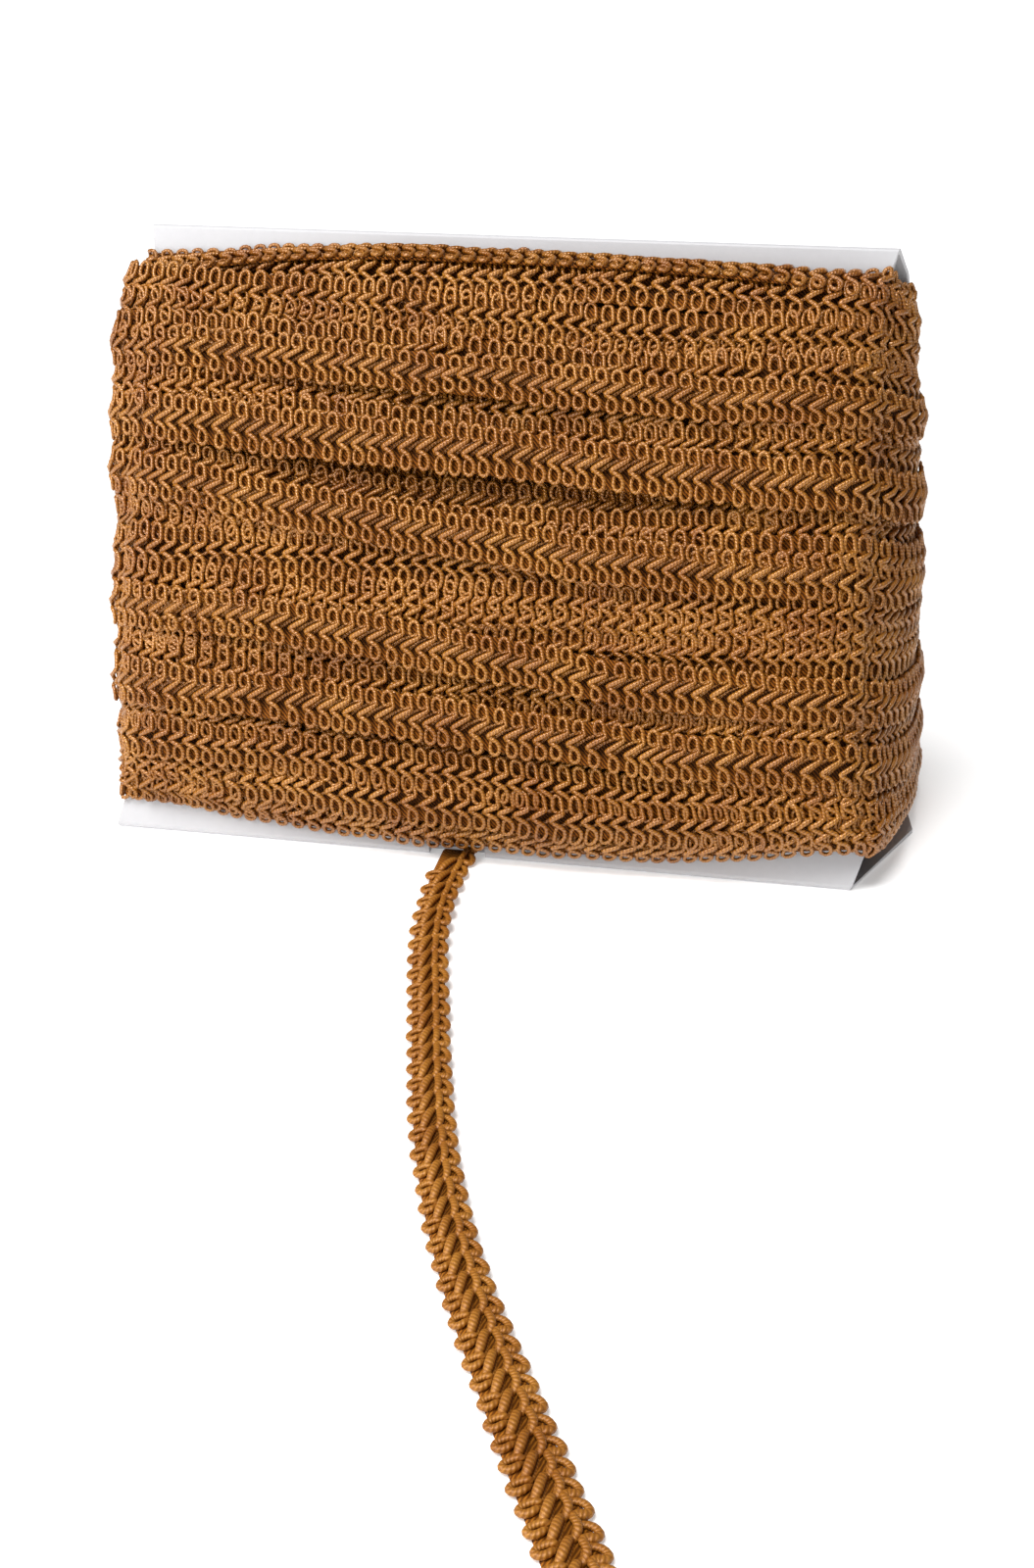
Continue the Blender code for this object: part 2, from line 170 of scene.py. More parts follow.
# One repeat of its cord on the winding: share of the pitch along the braid, mm across it, mm out of it,
# and the cord's thickness there as a share of the usual one
WOUND_REPEAT = (
    (0.290, 2.65, -0.25, 0.80),
    (0.160, 2.00, 0.10, 0.85),
    (-0.080, 1.90, 0.25, 0.88),
    (-0.260, 2.50, 0.30, 0.88),
    (-0.310, 3.60, 0.30, 0.88),
    (-0.240, 4.80, 0.30, 0.88),
    (0.000, 5.35, 0.35, 0.88),
    (0.240, 4.80, 0.40, 0.88),
    (0.310, 3.70, 0.50, 0.88),
    (0.320, 2.80, 0.65, 0.88),
    (0.430, 2.10, 0.85, 0.78),
    (0.380, 1.70, 0.98, 0.92),
    (0.120, 1.10, 1.10, 1.15),
    (-0.220, 0.25, 1.12, 1.22),
    (-0.520, -0.50, 1.00, 1.18),
    (-0.680, -0.95, 0.85, 1.10),
    (-0.620, -1.35, 0.78, 1.05),
    (-0.400, -1.60, 0.85, 1.05),
    (-0.150, -2.05, 0.80, 1.00),
    (0.010, -2.85, 0.60, 0.95),
    (0.040, -3.80, 0.45, 0.90),
    (-0.030, -4.80, 0.35, 0.90),
    (-0.270, -5.35, 0.25, 0.90),
    (-0.510, -4.80, 0.20, 0.90),
    (-0.580, -3.80, 0.15, 0.90),
    (-0.570, -2.80, 0.05, 0.90),
    (-0.480, -1.90, -0.25, 0.85),
    (-0.200, -0.90, -0.65, 0.75),
    (0.250, 0.60, -0.75, 0.75),
    (0.850, 1.80, -0.70, 0.75),
    (1.140, 2.60, -0.50, 0.75),
)
# The same on most turns, with larger rings and short even strokes between them
EVEN_REPEAT = (
    (0.300, 2.00, -0.20, 0.85),
    (0.170, 1.50, 0.10, 0.88),
    (-0.080, 1.45, 0.25, 0.90),
    (-0.280, 2.10, 0.30, 0.90),
    (-0.320, 3.20, 0.30, 0.90),
    (-0.260, 4.70, 0.30, 0.90),
    (0.000, 5.35, 0.35, 0.90),
    (0.260, 4.70, 0.40, 0.90),
    (0.320, 3.40, 0.50, 0.90),
    (0.340, 2.40, 0.65, 0.92),
    (0.400, 1.75, 0.85, 0.88),
    (0.260, 1.30, 1.02, 1.05),
    (-0.060, 0.80, 1.10, 1.22),
    (-0.360, 0.25, 1.05, 1.22),
    (-0.520, -0.15, 0.85, 1.10),
    (-0.440, -0.50, 0.80, 1.05),
    (-0.230, -0.80, 0.90, 1.10),
    (0.020, -1.20, 0.88, 1.10),
    (0.220, -1.80, 0.75, 1.02),
    (0.300, -2.70, 0.55, 0.92),
    (0.290, -3.90, 0.40, 0.90),
    (0.160, -5.05, 0.30, 0.90),
    (-0.090, -5.35, 0.25, 0.90),
    (-0.310, -4.60, 0.20, 0.90),
    (-0.360, -3.30, 0.15, 0.90),
    (-0.310, -2.20, 0.10, 0.90),
    (-0.100, -1.60, -0.05, 0.88),
    (0.220, -1.00, -0.30, 0.85),
    (0.600, 0.00, -0.40, 0.85),
    (0.950, 0.95, -0.40, 0.85),
    (1.180, 1.75, -0.35, 0.85),
)
# One repeat on the loose end, which shows its other face: loops, a stroke and a run along the middle
LOOSE_REPEAT = (
    (-0.560, 2.60, 0.10, 0.9),
    (-0.480, 4.00, 0.30, 1.0),
    (-0.300, 4.95, 0.30, 1.05),
    (-0.030, 5.30, 0.25, 1.1),
    (0.130, 4.80, 0.20, 1.25),
    (0.130, 3.90, 0.30, 1.4),
    (0.100, 2.90, 0.50, 1.3),
    (0.230, 2.30, 0.85, 1.1),
    (0.480, 2.45, 1.05, 1.1),
    (0.760, 2.30, 1.00, 1.1),
    (0.980, 1.65, 0.45, 1.0),
    (1.090, 0.95, 0.00, 0.9),
    (1.060, 0.50, 0.50, 1.1),
    (1.180, 0.10, 1.05, 1.25),
    (1.420, -0.60, 1.30, 1.3),
    (1.680, -1.35, 1.20, 1.3),
    (1.860, -1.95, 0.70, 1.2),
    (1.960, -2.25, 0.00, 1.0),
    (2.060, -2.05, -0.30, 0.9),
    (2.140, -1.60, 0.25, 0.9),
    (2.120, -2.10, 0.85, 1.0),
    (2.070, -3.10, 0.60, 1.0),
    (2.080, -4.30, 0.30, 1.0),
    (2.180, -5.15, 0.25, 1.0),
    (2.330, -5.30, 0.25, 1.1),
    (2.450, -4.70, 0.25, 1.15),
    (2.490, -3.70, 0.45, 1.15),
    (2.430, -2.80, 0.65, 1.0),
    (2.300, -2.20, 0.10, 0.9),
    (1.950, -1.20, -0.45, 0.8),
    (1.400, 0.20, -0.60, 0.8),
    (0.850, 1.50, -0.40, 0.8),
)

# The turns that show, roughly from the top one down. Height along the front wall in mm, from its left end to
# its right end, mm above or below the pillow's surface at the left end, middle and right end, share of the
# trim's full width, and 1 where its strokes are even
TURNS = (
    # left, next, middle, next, right, lifts, width, even
    (137.0, 141.1, 141.0, 139.9, 138.0, -5.6, -0.8, -0.8, 0.95, 1),
    (134.0, 135.8, 135.8, 134.6, 132.6, -6.0, -0.2, -0.3, 0.95, 1),
    (131.1, 129.0, 126.2, 124.0, 125.6, -1.5, -0.9, -0.9, 0.98, 1),
    (120.0, 118.2, 116.0, 114.2, 117.9, -0.6, -1.2, -0.8, 0.95, 1),
    (116.8, 114.4, 111.8, 109.5, 110.1, 0.4, 1.8, 0.7, 0.84, 0),
    (107.8, 106.2, 104.9, 103.6, 105.6, -0.5, -2.2, -1.3, 0.90, 1),
    (104.9, 101.1, 98.9, 98.5, 101.0, -0.9, -1.1, -0.8, 0.95, 1),
    (100.4, 96.9, 94.9, 92.4, 91.5, 0.4, 2.3, 0.8, 0.98, 0),
    (92.0, 85.4, 83.9, 84.2, 87.0, -0.8, -3.8, -2.6, 0.85, 0),
    (83.7, 79.2, 77.6, 78.9, 82.6, -1.2, -1.4, -2.0, 0.95, 1),
    (87.0, 80.1, 74.9, 71.1, 71.1, 0.4, 1.7, 0.6, 0.92, 0),
    (81.7, 76.5, 74.4, 74.6, 75.7, -1.0, -1.3, 0.0, 0.95, 1),
    (68.6, 69.3, 68.7, 67.6, 69.2, -0.2, -1.4, -3.2, 1.00, 1),
    (61.4, 59.2, 60.6, 62.0, 63.5, -0.4, -1.2, -0.4, 0.95, 1),
    (58.1, 56.2, 56.5, 57.7, 58.4, -0.9, -1.0, -0.7, 0.95, 1),
    (55.5, 52.8, 48.6, 43.8, 44.1, 0.3, 1.6, 0.5, 0.92, 0),
    (51.5, 50.4, 50.8, 52.0, 54.6, -0.9, -1.5, -0.7, 0.95, 1),
    (43.9, 39.5, 39.9, 40.5, 40.9, -0.4, -1.7, -1.2, 1.00, 1),
    (39.6, 36.0, 34.2, 34.4, 36.1, -0.9, -1.6, -0.8, 0.95, 1),
    (36.8, 35.1, 32.1, 29.0, 28.7, 0.4, 1.8, 0.5, 0.96, 0),
    (31.1, 27.5, 24.7, 23.3, 24.7, -1.4, -2.4, -1.2, 0.90, 1),
    (24.2, 22.5, 20.6, 18.6, 20.9, -0.6, -0.1, -0.3, 0.92, 1),
    (16.4, 14.8, 12.9, 12.3, 16.2, -2.6, 0.5, 0.6, 0.98, 1),
    (13.0, 7.6, 6.0, 6.5, 13.6, -4.0, -1.2, 0.6, 0.88, 1),
)
# Turns of the layer under those, which show in the gaps between them
UNDER_TURNS = (
    # left, next, middle, next, right, lifts, width, even
    (126.0, 124.5, 122.0, 120.0, 122.0, -1.2, -2.4, -1.8, 0.95, 1),
    (110.5, 108.7, 106.5, 105.0, 106.1, -1.6, -3.8, -2.4, 0.95, 0),
    (88.9, 87.5, 85.1, 82.9, 84.4, -1.6, -4.8, -2.8, 0.95, 1),
    (75.0, 73.5, 69.9, 64.9, 66.0, -1.4, -3.6, -2.6, 0.95, 0),
    (47.3, 44.8, 42.8, 37.8, 38.5, -1.4, -3.0, -2.0, 0.95, 1),
    (29.0, 30.0, 27.3, 23.5, 23.6, -1.8, -3.4, -2.2, 0.95, 0),
    (18.7, 18.2, 16.8, 15.4, 17.0, -1.8, -2.4, -1.6, 0.95, 1),
    (12.6, 9.5, 8.5, 9.2, 16.0, -2.4, -2.2, -1.6, 0.92, 0),
)

# The loose end's route on the floor, as in the CAD model: right, back, height of its underside, width, roll
TRIM_ROUTE = (
    (-0.0036, -0.0276, 0.0000, 0.0103, 0.0),
    (-0.0036, -0.0330, 0.0000, 0.0102, 0.0),
    (-0.0036, -0.0400, 0.0000, 0.0099, 2.0),
    (-0.0029, -0.0530, 0.0000, 0.0096, 8.0),
    (-0.0012, -0.0680, 0.0000, 0.0094, 12.0),
    (0.0020, -0.0840, 0.0000, 0.0094, 12.0),
    (0.0064, -0.1020, 0.0000, 0.0093, 10.0),
    (0.0113, -0.1220, 0.0000, 0.0093, 9.0),
    (0.0169, -0.1430, 0.0000, 0.0094, 8.0),
    (0.0238, -0.1640, 0.0000, 0.0094, 7.0),
    (0.0325, -0.1850, 0.0000, 0.0098, 5.0),
    (0.0429, -0.2060, 0.0000, 0.0106, 3.0),
    (0.0521, -0.2240, 0.0000, 0.0112, 1.0),
    (0.0604, -0.2405, 0.0000, 0.0117, 0.0),
    (0.0692, -0.2590, 0.0000, 0.0120, 0.0),
)

# The camera, lights and floor
LENS = 45.0
CAMERA_PLACE = (0.0900, -0.4376, 0.2141)
CAMERA_DOWN = math.radians(25.0)
CAMERA_LEFT = math.radians(10.97)
FLOOR_HALF = 9.0

# The gimp's darkest and lightest tones, and its fine threads: along the cord, and two stripes round it,
# whose darker bands are painted shade in the grooves between the threads
GIMP_TONES = ((0.330, 0.107, 0.004, 1.0), (0.495, 0.208, 0.022, 1.0))
THREAD_SCALE = (0.80, 1.2566, 1.0)


def link(name, mesh, look, slot=None):
    """A named piece, which rides on the part's one body where it has a slot."""
    piece = bpy.data.objects.new(name, mesh)
    piece.data.materials.append(look)
    bpy.context.collection.objects.link(piece)
    if slot is not None:
        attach(piece, "root")
    return piece


def mesh_from(name, points, faces, uvs=None):
    """A smooth mesh from arrays of points and of four-cornered faces, with its texture coordinates."""
    mesh = bpy.data.meshes.new(name)
    mesh.from_pydata(points.tolist(), [], faces.tolist())
    if uvs is not None:
        layer = mesh.uv_layers.new(name="along")
        layer.data.foreach_set("uv", uvs.ravel())
    mesh.shade_smooth()
    mesh.update()
    return mesh


def smooth_between(before, start, stop, after, t):
    """Where a smooth curve through four values is, a share t of the way from the second to the third."""
    return 0.5 * (2 * start + (stop - before) * t
                  + (2 * before - 5 * start + 4 * stop - after) * t**2
                  + (3 * start - before - 3 * stop + after) * t**3)


def fine_rows(padded, steps):
    """Rows in even steps along the smooth curve through all of these rows but the first and the last."""
    fine = []
    for i in range(len(padded) - 3):
        for k in range(steps):
            fine.append(smooth_between(*padded[i : i + 4], k / steps))
    fine.append(padded[-2])
    return np.array(fine)


# Geometry of the sleeve and of the pillow round it


def steps_round(way):
    """The step that each place round the sleeve is in, and how far along that step it is."""
    whole = np.floor(way)
    return whole.astype(int) % 8, way - whole


def places_round(counts):
    """Places all the way round the sleeve, with these numbers of them in its eight steps."""
    return np.concatenate([k + np.arange(n) / n for k, n in enumerate(counts)])


def posts(z):
    """The sleeve's four upright corners at heights above the floor, from the front left round."""
    height = z / math.cos(LEAN)
    y = FRONT_Y + z * math.tan(LEAN)
    left = np.interp(height, FRONT_ENDS[:, 0], FRONT_ENDS[:, 1])
    right = np.interp(height, FRONT_ENDS[:, 0], FRONT_ENDS[:, 2])
    shift = BACK_SHIFT - BACK_SHIFT_SLOPE * z
    back = np.full_like(z, BACK_Y)
    return np.stack([
        np.stack([left, y, z], -1),
        np.stack([right, y, z], -1),
        np.stack([HALF_LENGTH + shift, back, z], -1),
        np.stack([-HALF_LENGTH + shift, back, z], -1),
    ])


def outwards(corners):
    """The directions that face away from the sleeve's front, right end, back and left end."""
    front = np.zeros_like(corners[0]) + (0.0, -math.cos(LEAN), math.sin(LEAN))
    back = np.zeros_like(corners[0]) + (0.0, 1.0, 0.0)
    ends = []
    for start, stop in ((1, 2), (3, 0)):
        along = corners[stop] - corners[start]
        along /= np.linalg.norm(along, axis=-1, keepdims=True)
        ends.append(np.stack([along[:, 1], -along[:, 0], np.zeros(len(along))], -1))
    return np.stack([front, ends[0], back, ends[1]])


def on_sleeve(way, z, thick):
    """Points at places round the sleeve, at heights above the floor and distances out from its wall."""
    step, share = steps_round(way)
    side, share = step // 2, share[:, None]
    on_corner = step[:, None] % 2 == 1
    turned = np.where(on_corner, share, 0.0)
    along = np.where(on_corner, 1.0, share)
    corners = posts(z)
    faces = outwards(corners)
    rows = np.arange(len(way))
    start, stop = corners[side, rows], corners[(side + 1) % 4, rows]
    here, after = faces[side, rows], faces[(side + 1) % 4, rows]
    angle = np.arccos(np.clip((here * after).sum(-1, keepdims=True), -1, 1))
    out = (here * np.sin((1 - turned) * angle) + after * np.sin(turned * angle)) / np.sin(angle)
    return start + (stop - start) * along + out * thick[:, None]


def side_shares(way):
    """How far along the front each place is from its left end, whichever side it is on."""
    step, share = steps_round(way)
    return np.select([step == FRONT, step < BACK, step == BACK], [share, 1.0, 1 - share], 0.0)


def front_curve(values, share):
    """A smooth curve through values spread evenly along the front."""
    count = len(values) - 1
    padded = np.concatenate([[2 * values[0] - values[1]], values, [2 * values[-1] - values[-2]]])
    spot = np.clip(share, 0, 1) * count
    k = np.minimum(spot.astype(int), count - 1)
    return smooth_between(*(padded[k + i] for i in range(4)), spot - k)


def turn_heights(front, fall, way):
    """Height above the floor, all the way round, of a line whose heights on the front are given."""
    step, share = steps_round(way)
    left, right = front[0], front[-1]
    back = right - fall
    falling = right + (back - right) * (1 - (1 - share) ** FALL_POWER)
    rising = back + (left - back) * share
    where = [step == FRONT, step < RIGHT, step == RIGHT, step < LEFT, step == LEFT]
    return np.select(where, [front_curve(np.asarray(front), share), right, falling, back, rising], left)


def pillow(way, z):
    """Thickness of the pillow of trim at places round the sleeve and heights above the floor."""
    low = turn_heights(PILLOW_LOW, FALL[0], way)
    high = turn_heights(PILLOW_HIGH, FALL[1], way)
    level = np.clip((z - low) / (high - low), 0.0, 1.0)
    step, along = steps_round(way)
    share = side_shares(way)
    left = LEFT_CORNER[0] + (LEFT_CORNER[1] - LEFT_CORNER[0]) * level
    right = RIGHT_CORNER[0] + (RIGHT_CORNER[1] - RIGHT_CORNER[0]) * level
    corner = left + (right - left) * share
    flat = (1 - np.abs(2 * share - 1) ** FACE_POWER) ** (1 / FACE_ROUND)
    bulge = np.where(step == BACK, BACK_BULGE, FRONT_BULGE)
    full = corner + (bulge - corner) * flat
    on_end = np.where((step == RIGHT) | (step == LEFT), along, 0.0)
    full = full + END_BULGE * (1 - np.abs(2 * on_end - 1) ** 2)
    power = END_PILLOW_POWER + (PILLOW_POWER - END_PILLOW_POWER) * flat
    return EDGE_LAYER + (full - EDGE_LAYER) * (1 - np.abs(2 * level - 1) ** power) ** (1 / power)


# The braid's cord


def repeat_curve(repeat, pitch, count):
    """One repeat of the cord, with more points where it bends, the mm of cord up to each, and in all."""
    rows = np.array(repeat)
    ahead = rows + (1.0, 0.0, 0.0, 0.0)
    behind = rows - (1.0, 0.0, 0.0, 0.0)
    fine = fine_rows(np.vstack([behind[-1:], rows, ahead[:2]]), REPEAT_STEPS)
    steps = np.diff(fine[:, :3] * (pitch, 1.0, 1.0), axis=0)
    lengths = np.linalg.norm(steps, axis=1)
    ways = steps / lengths[:, None]
    turns = np.arccos(np.clip((ways * np.roll(ways, 1, axis=0)).sum(1), -1, 1))
    cost = np.concatenate([[0], np.cumsum(lengths + BEND_WEIGHT * turns)])
    run = np.concatenate([[0], np.cumsum(lengths)])
    reads = np.linspace(0, cost[-1], count + 1)[:-1]
    curve = np.stack([np.interp(reads, cost, fine[:, c]) for c in range(4)], -1)
    return curve, np.interp(reads, cost, run), run[-1]


def braid_points(repeat, pitch, counts, seed, rough=1.0):
    """A run of repeats: repeats along, mm across, mm out, thickness share and mm of cord so far."""
    own = np.random.default_rng(seed)
    curves = {count: repeat_curve(repeat, pitch, count) for count in set(counts)}
    rows, place, length = [], [], []
    for number, count in enumerate(counts):
        curve, run, whole = curves[count]
        rows.append(curve + (number, 0.0, 0.0, 0.0))
        place.append(number + run / whole)
        length.append(number * whole + run)
    along, across, out, thick = np.vstack(rows).T
    place, length = np.concatenate(place), np.concatenate(length)
    knots = np.arange(len(counts) + 1)

    def wander(size):
        values = own.normal(0, size * rough, len(knots))
        values[-1] = values[0]
        return np.interp(place, knots, values)

    def sway(size):
        waves = np.zeros_like(place)
        for rounds in SWAY_ROUNDS:
            turned = 2 * math.pi * (rounds * place / len(counts) + own.random())
            waves += own.normal(0, size * rough) * np.sin(turned)
        return waves

    along = along + wander(ALONG_WANDER) + sway(ALONG_SWAY)
    across = across * (1 + wander(WIDTH_WANDER) + sway(WIDTH_SWAY))
    across = across + wander(ACROSS_WANDER) + sway(ACROSS_SWAY)
    out = out + wander(OUT_WANDER) + sway(OUT_SWAY)
    return along, across, out, thick, length


def tube(points, normals, radius, sides, closed):
    """Rings of points round a cord, its faces, and the numbers of the rings that faces start from."""
    if closed:
        ahead, behind = np.roll(points, -1, axis=0), np.roll(points, 1, axis=0)
    else:
        ahead = np.vstack([points[1:], points[-1:]])
        behind = np.vstack([points[:1], points[:-1]])
    along = ahead - behind
    along /= np.linalg.norm(along, axis=1, keepdims=True)
    first = normals - along * (normals * along).sum(1, keepdims=True)
    first /= np.linalg.norm(first, axis=1, keepdims=True)
    second = np.cross(along, first)
    angles = 2 * math.pi * np.arange(sides) / sides
    turned = np.cos(angles)[None, :, None] * first[:, None] + np.sin(angles)[None, :, None] * second[:, None]
    rings = points[:, None] + radius[:, None, None] * turned
    count = len(points)
    rows = np.arange(count if closed else count - 1)
    here, after = rows[:, None] * sides, (rows[:, None] + 1) % count * sides
    side, next_side = np.arange(sides), (np.arange(sides) + 1) % sides
    faces = np.stack([here + side, after + side, after + next_side, here + next_side], -1)
    return rings.reshape(-1, 3), faces.reshape(-1, 4), rows


def face_corners(start, stop, low, high):
    """Texture coordinates for the four corners of each face, between these ends and these sides."""
    return np.stack([start, low, stop, low, stop, high, start, high], -1).reshape(-1, 2)


def cord_uvs(rows, run, sides):
    """Texture coordinates of a tube: mm along the cord, and share of the way round it."""
    start = run[rows][:, None] + np.zeros(sides)
    after = np.append(run, 2 * run[-1] - run[-2])[rows + 1]
    low = np.zeros((len(rows), 1)) + np.arange(sides) / sides
    return face_corners(start, after[:, None] + np.zeros(sides), low, low + 1 / sides)


def ribbon(columns, count, step, closed):
    """Faces and texture coordinates of a ribbon: a number of rows, a step in mm apart, of these columns."""
    rows = np.arange(count if closed else count - 1)[:, None]
    wide = len(columns)
    here = rows * wide + np.arange(wide - 1)
    after = (rows + 1) % count * wide + np.arange(wide - 1)
    faces = np.stack([here, after, after + 1, here + 1], -1).reshape(-1, 4)
    start = rows * step + np.zeros(wide - 1)
    low, high = columns[:-1] + np.zeros(rows.shape), columns[1:] + np.zeros(rows.shape)
    return faces, face_corners(start, start + step, low, high)


# The turns on the sleeve


def across_pillow(way, z):
    """Where the trim lies when it is laid across the pillow: places by way and by mm up from height z."""
    low = turn_heights(PILLOW_LOW, FALL[0], way)
    high = turn_heights(PILLOW_HIGH, FALL[1], way)
    levels = (1 - np.cos(math.pi * np.arange(PILLOW_LEVELS + 1) / PILLOW_LEVELS)) / 2
    heights = low[:, None] + (high - low)[:, None] * levels
    thick = np.stack([pillow(way, heights[:, k]) for k in range(len(levels))], -1)
    edge = np.full_like(low, EDGE_THIN)[:, None]
    heights = np.hstack([heights[:, :1], heights, heights[:, -1:]])
    thick = np.hstack([edge, thick, edge])
    arc = np.cumsum(np.hypot(np.diff(heights, axis=1), np.diff(thick, axis=1)), axis=1)
    arc = np.hstack([np.zeros_like(edge), arc])
    spans = np.arange(-HALF_SPAN, HALF_SPAN + 1) * MM
    out_z = np.zeros((len(way), len(spans)))
    out_t = np.zeros_like(out_z)
    for i in range(len(way)):
        middle = np.interp(z[i], heights[i], arc[i])
        out_z[i] = np.interp(middle + spans, arc[i], heights[i])
        out_t[i] = np.interp(middle + spans, arc[i], thick[i])
    return spans, *leaned(out_z, out_t)


def leaned(z, thick):
    """The same rows, bent no further than the trim bends over the pillow's edges."""
    middle = z.shape[1] // 2
    up = np.clip(np.diff(z, axis=1), MM * math.cos(TURN_BEND), MM)
    inwards = np.where(np.arange(z.shape[1] - 1) < middle, 1.0, -1.0)
    bent = np.sqrt(MM**2 - up**2)
    slopes = np.diff(thick, axis=1)
    out = np.where(np.abs(slopes) < bent, slopes, inwards * bent)
    new_z, new_t = np.empty_like(z), np.empty_like(thick)
    new_z[:, middle], new_t[:, middle] = z[:, middle], thick[:, middle]
    new_z[:, middle + 1 :] = z[:, middle, None] + np.cumsum(up[:, middle:], axis=1)
    new_t[:, middle + 1 :] = thick[:, middle, None] + np.cumsum(out[:, middle:], axis=1)
    new_z[:, :middle] = z[:, middle, None] - np.cumsum(up[:, :middle][:, ::-1], axis=1)[:, ::-1]
    new_t[:, :middle] = thick[:, middle, None] - np.cumsum(out[:, :middle][:, ::-1], axis=1)[:, ::-1]
    return np.maximum(new_z, FLOOR_CLEAR), new_t


def laid_back(z, thick, way):
    """The same rows, laid back over the pillow's top edge along the front and the back."""
    middle = z.shape[1] // 2
    steps = (np.arange(z.shape[1]) - middle) * MM
    back_z = z[:, middle, None] + steps * math.cos(TOP_LEAN)
    back_t = thick[:, middle, None] - steps * math.sin(TOP_LEAN)
    place = side_shares(way)[:, None]
    upright = np.where(place < 0.5, TOP_UPRIGHT[0], TOP_UPRIGHT[1])
    share = 1 - upright * np.abs(2 * place - 1) ** UPRIGHT_POWER
    return z + (back_z - z) * share, thick + (back_t - thick) * share


def lifts_round(lifts, way):
    """How far a turn lies above or below the pillow's surface, all the way round."""
    step, share = steps_round(way)
    behind = max(lifts[0], BACK_SINK)
    front = front_curve(lifts, side_shares(way))
    back = front_curve(np.array((behind, lifts[1], lifts[2])), side_shares(way))
    lift = np.where((step == BACK) | (step == BACK + 1), back, front)
    return np.where(step == LEFT, behind + (lifts[0] - behind) * share, lift)


def wound_strip(turn):
    """The surface that one turn lies on: way round, metres across, points, directions out, metres so far."""
    front = np.array(turn[HEIGHTS]) * MM * math.cos(LEAN)
    level = (front[2] - PILLOW_LOW[1]) / (PILLOW_HIGH[1] - PILLOW_LOW[1])
    fall = FALL[0] + (FALL[1] - FALL[0]) * level
    way = places_round(TURN_PLACES)
    z = turn_heights(front, fall, way)
    spans, rows_z, rows_t = across_pillow(way, z)
    if turn is TURNS[0]:
        rows_z, rows_t = laid_back(rows_z, rows_t, way)
    lift = lifts_round(np.array(turn[LIFTS]) * MM, way)
    sheet = np.stack([
        on_sleeve(way, rows_z[:, k], np.maximum(rows_t[:, k] - SINK + lift, WALL_CLEAR))
        for k in range(len(spans))
    ], 1)
    along = np.roll(sheet, -1, axis=0) - np.roll(sheet, 1, axis=0)
    across = np.gradient(sheet, axis=1)
    middle = sheet[:, HALF_SPAN]
    # Where rows are pressed together against the wall, the direction across is taken from the middle row
    flat = np.linalg.norm(across, axis=2, keepdims=True) < PRESSED * MM
    across = np.where(flat, across[:, HALF_SPAN][:, None], across)
    out = np.cross(along, across)
    out /= np.linalg.norm(out, axis=2, keepdims=True)
    run = np.concatenate([[0], np.cumsum(np.linalg.norm(np.diff(middle, axis=0), axis=1))])
    total = run[-1] + np.linalg.norm(middle[0] - middle[-1])
    return way, spans / turn[WIDTH], sheet, out, np.append(run, total)


def on_strip(strip, spot, side):
    """Places and outward directions on a strip, at distances along it and across it."""
    way, spans, sheet, out, run = strip
    spot = spot % run[-1]
    count = len(way)
    k = np.clip(np.searchsorted(run, spot, side="right") - 1, 0, count - 1)
    t = ((spot - run[k]) / (run[k + 1] - run[k]))[:, None]
    col = np.clip((side - spans[0]) / (spans[1] - spans[0]), 0, len(spans) - 1.001)
    j = col.astype(int)
    w = (col - j)[:, None]
    after = (k + 1) % count

    def read(grid):
        near = grid[k, j] * (1 - w) + grid[k, j + 1] * w
        far = grid[after, j] * (1 - w) + grid[after, j + 1] * w
        return near * (1 - t) + far * t

    facing = read(out)
    return read(sheet), facing / np.linalg.norm(facing, axis=1, keepdims=True)


def wound_turn(strip, even, seed, detail):
    """One turn's cord right round the sleeve, as points, faces and texture coordinates."""
    way, _, _, _, run = strip
    front, back, sides = detail
    total = run[-1]
    repeats = round(total / (WOUND_PITCH * MM))
    spots = (np.arange(repeats) + 0.5) / repeats * total
    steps = np.floor(np.interp(spots, run[:-1], way))
    counts = [back if step == BACK else front for step in steps]
    repeat = EVEN_REPEAT if even else WOUND_REPEAT
    share, side, proud, thick, length = braid_points(repeat, WOUND_PITCH, counts, seed)
    place, face = on_strip(strip, share / repeats * total, side * MM)
    points = place + face * (proud * MM)[:, None]
    rings, faces, rows = tube(points, face, thick * CORD_RADIUS * MM, sides, closed=True)
    return rings, faces, cord_uvs(rows, length, sides)


def wound_ground(strip):
    """The inner threads of one turn, a ribbon just under its loops, as points, faces and coordinates."""
    total = strip[-1][-1]
    steps = round(total / (GROUND_STEP * MM))
    columns, depths = np.array(WOUND_RIBBON).T
    spots = np.repeat(np.arange(steps) / steps * total, len(columns))
    place, face = on_strip(strip, spots, np.tile(columns, steps) * MM)
    points = place + face * (np.tile(depths, steps) * MM)[:, None]
    return points, *ribbon(columns, steps, GROUND_STEP, closed=True)


def joined(name, parts, look):
    """One piece from several sets of points, faces and texture coordinates."""
    points, faces, uvs, used = [], [], [], 0
    for rings, quads, corners in parts:
        points.append(rings)
        faces.append(quads + used)
        uvs.append(corners)
        used += len(rings)
    mesh = mesh_from(name, np.vstack(points), np.vstack(faces), np.vstack(uvs))
    return link(name, mesh, look, "gimp_trim")


def turn_pieces(name, turns, strips, detail, first_seed, look):
    """The cords of a table's turns, a few turns to a piece."""
    pieces = []
    for first in range(0, len(turns), TURNS_IN_A_PIECE):
        parts = []
        for number in range(first, first + TURNS_IN_A_PIECE):
            even = turns[number][EVEN]
            parts.append(wound_turn(strips[number], even, first_seed + number, detail))
        pieces.append(joined(f"{name}_{first // TURNS_IN_A_PIECE + 1}", parts, look))
    return pieces


